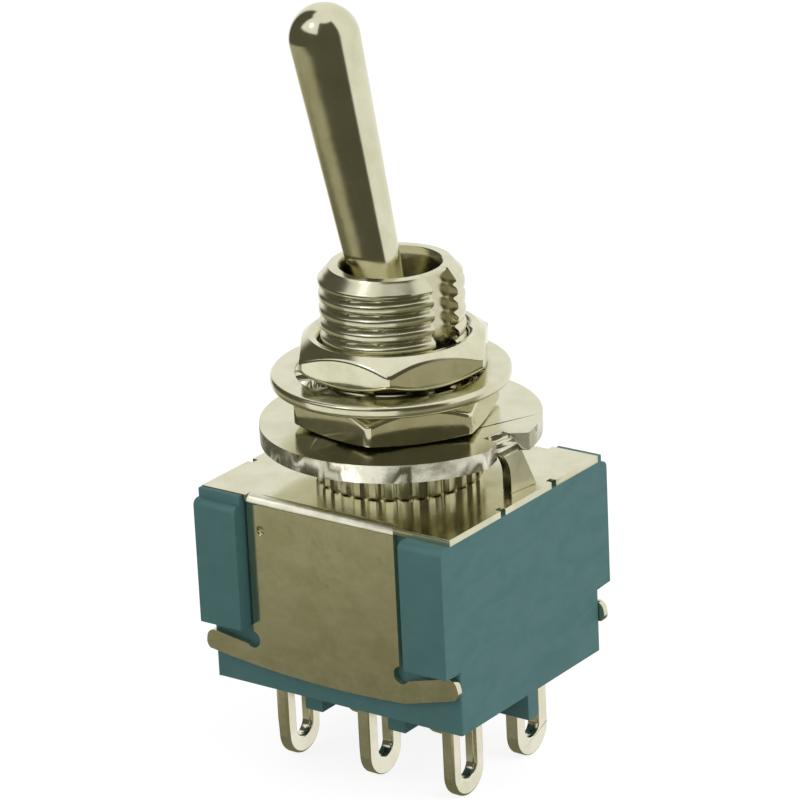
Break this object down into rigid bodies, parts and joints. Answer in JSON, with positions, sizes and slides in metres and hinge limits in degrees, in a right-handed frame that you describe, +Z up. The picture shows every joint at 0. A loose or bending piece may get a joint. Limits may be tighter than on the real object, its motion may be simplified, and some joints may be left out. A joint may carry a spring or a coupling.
{
  "type": "panel toggle switch",
  "caption": "Miniature two-pole panel toggle switch with bat lever, threaded bushing, nuts, lock washer, locating ring and solder lugs.",
  "frame": {"origin": "the bushing's axis at the top face of the frame plate", "axes": "+Z up along the bushing; the lever swings in the XZ plane and leans to -X at rest; +X is the side of the keyway and the ring's tab; -Y is the front"},
  "size_m": [0.0138, 0.0126, 0.0342],
  "materials": {
    "teal_moulding": "satin, teal-grey moulded thermoset",
    "natural_moulding": "natural moulded nylon",
    "frame_sheet": "bright nickel-plated sheet steel",
    "plated_brass": "nickel-plated turned brass",
    "plated_nut": "nickel-plated brass",
    "plated_steel": "nickel-plated steel stamping",
    "plated_lever": "bright nickel-plated brass",
    "spring_wire": "stainless spring wire",
    "silver_contact": "silver-plated copper alloy",
    "tinned_terminal": "silver-plated copper alloy, slightly warm"
  },
  "bodies": {
    "switch_body": {"housing": "teal_moulding", "frame": "frame_sheet", "bushing": "plated_brass", "locating_ring": "plated_steel", "lower_nut": "plated_nut", "lock_washer": "plated_steel", "upper_nut": "plated_nut", "terminal_front_left": "tinned_terminal", "terminal_front_centre": "tinned_terminal", "terminal_front_right": "tinned_terminal", "terminal_rear_left": "tinned_terminal", "terminal_rear_centre": "tinned_terminal", "terminal_rear_right": "tinned_terminal", "contact_front_left": "silver_contact", "contact_front_right": "silver_contact", "contact_rear_left": "silver_contact", "contact_rear_right": "silver_contact"},
    "toggle": {"lever": "plated_lever", "lever_pin": "plated_steel", "carrier": "natural_moulding"},
    "plunger_front": {"plunger_front": "natural_moulding", "spring_front": "spring_wire"},
    "rocker_front": {"rocker_front": "silver_contact"},
    "plunger_rear": {"plunger_rear": "natural_moulding", "spring_rear": "spring_wire"},
    "rocker_rear": {"rocker_rear": "silver_contact"}
  },
  "joints": [
    {"name": "toggle_tilt", "type": "hinge", "parent": "switch_body", "child": "toggle", "pos_m": [0, 0, 0.0051], "axis": [0, 1, 0], "range_deg": [0, 23.3]},
    {"name": "plunger_front_slide", "type": "slide", "parent": "toggle", "child": "plunger_front", "axis": [-0.2019, 0, 0.9794], "range_m": [0, 0.0007], "stiffness_N_per_m": 400, "springref_m": -0.0005, "deforming": ["spring_front"]},
    {"name": "rocker_front_tilt", "type": "hinge", "parent": "switch_body", "child": "rocker_front", "pos_m": [0, -0.00245, -0.00657], "axis": [0, 1, 0], "range_deg": [-16, 0]},
    {"name": "plunger_rear_slide", "type": "slide", "parent": "toggle", "child": "plunger_rear", "axis": [-0.2019, 0, 0.9794], "range_m": [0, 0.0007], "stiffness_N_per_m": 400, "springref_m": -0.0005, "deforming": ["spring_rear"]},
    {"name": "rocker_rear_tilt", "type": "hinge", "parent": "switch_body", "child": "rocker_rear", "pos_m": [0, 0.00245, -0.00657], "axis": [0, 1, 0], "range_deg": [-16, 0]}
  ],
  "couplings": [
    {"joint": "rocker_front_tilt", "follows": "toggle_tilt", "ratio": -0.6866},
    {"joint": "rocker_rear_tilt", "follows": "toggle_tilt", "ratio": -0.6866}
  ]
}
